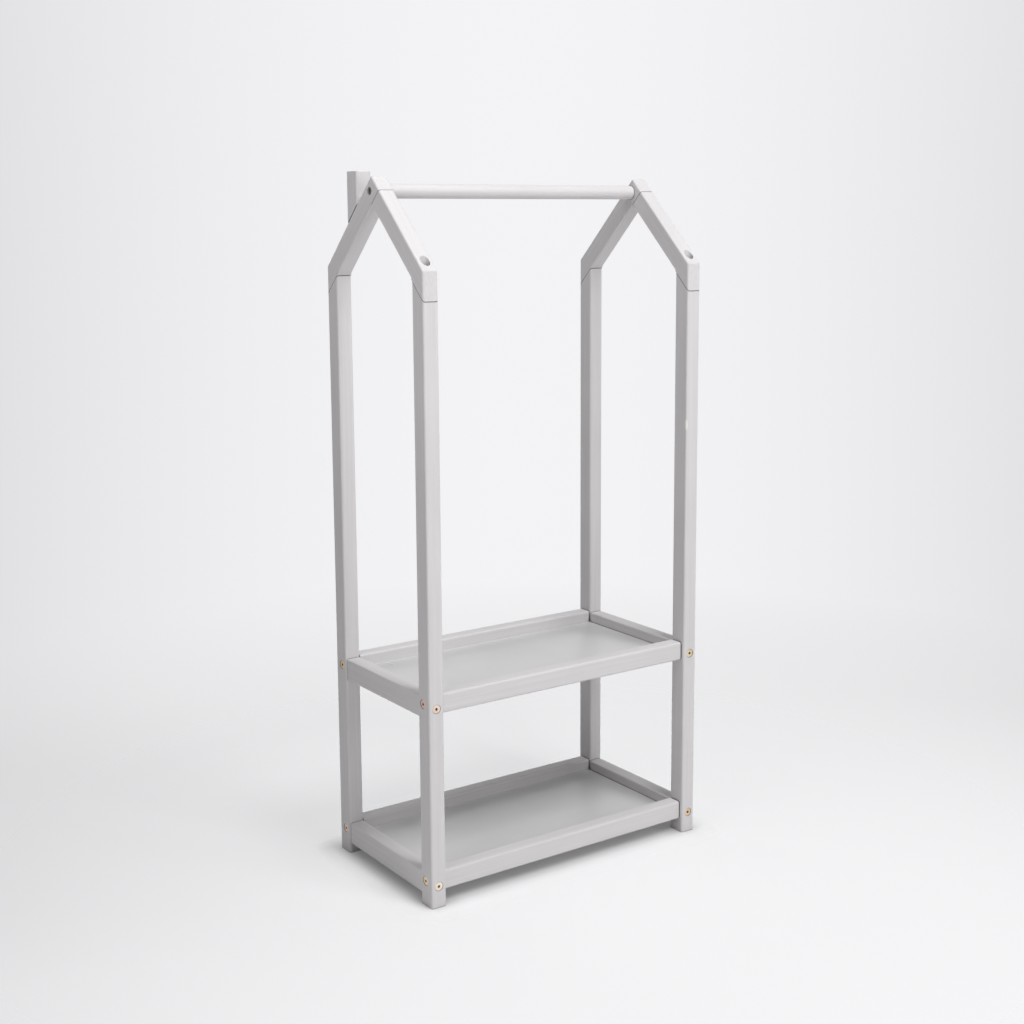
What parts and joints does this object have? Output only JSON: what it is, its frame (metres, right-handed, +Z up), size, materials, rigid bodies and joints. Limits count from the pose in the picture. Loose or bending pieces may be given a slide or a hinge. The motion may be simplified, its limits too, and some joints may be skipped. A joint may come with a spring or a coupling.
{
  "type": "kids clothing rack",
  "caption": "House-shaped clothing rack for children: bar end frames with pitched tops, a round hanging rail at the ridge, tray shelves below and a chimney block on the roof.",
  "frame": {"origin": "middle of the rack's footprint, on the floor", "axes": "+Z up, +X along the hanging rail towards the end without a chimney, -Y towards the front"},
  "size_m": [0.515, 0.283, 1.0868],
  "materials": {
    "painted_bar": "satin light grey paint on solid wood",
    "painted_panel": "satin light grey paint on board",
    "yellow_screw": "yellow zinc plating",
    "cap_screw": "yellow zinc plating",
    "dowel_wood": "plain turned hardwood"
  },
  "bodies": {
    "root": {"left_front_post": "painted_bar", "left_front_rafter": "painted_bar", "left_rear_post": "painted_bar", "left_rear_rafter": "painted_bar", "right_front_post": "painted_bar", "right_front_rafter": "painted_bar", "right_rear_post": "painted_bar", "right_rear_rafter": "painted_bar", "chimney_block": "painted_bar", "hanging_rail": "painted_bar", "upper_front_rail": "painted_bar", "upper_rear_rail": "painted_bar", "upper_left_side_rail": "painted_bar", "upper_right_side_rail": "painted_bar", "lower_front_rail": "painted_bar", "lower_rear_rail": "painted_bar", "lower_left_side_rail": "painted_bar", "lower_right_side_rail": "painted_bar", "upper_shelf_panel": "painted_panel", "lower_shelf_panel": "painted_panel", "upper_tray_screws": "yellow_screw", "lower_tray_screws": "yellow_screw", "eave_screws": "cap_screw", "ridge_screws": "cap_screw", "hanging_rail_screws": "cap_screw", "chimney_dowels": "dowel_wood"}
  },
  "joints": []
}
